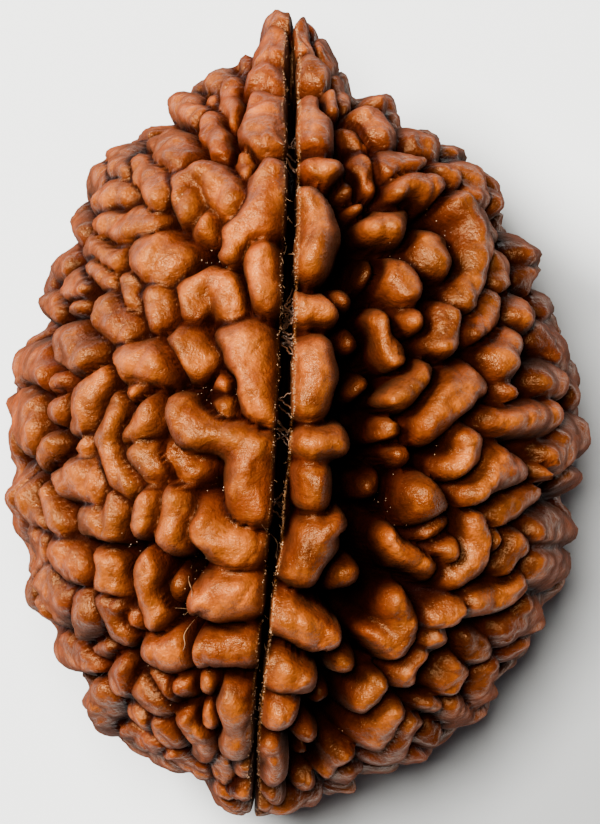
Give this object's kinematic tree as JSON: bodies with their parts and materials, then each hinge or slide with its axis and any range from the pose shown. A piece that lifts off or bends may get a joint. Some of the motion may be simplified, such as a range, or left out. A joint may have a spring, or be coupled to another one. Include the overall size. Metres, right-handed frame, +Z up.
{
  "type": "two mukhi rudraksha",
  "caption": "Dried rudraksha fruit stone with two opposite clefts from tip to base and deep knobbly ridges between them, lying on its back.",
  "frame": {"origin": "middle of the stone's outline seen from above, on the surface that it rests on", "axes": "+Z up, towards the front cleft; +Y along the stone, towards its pointed tip; +X to the right as the picture shows it"},
  "size_m": [0.0202, 0.0278, 0.0178],
  "materials": {
    "dried_shell": "satin, oiled red-brown, nearly black in the crevices"
  },
  "bodies": {
    "root": {"stone": "dried_shell"}
  },
  "joints": []
}
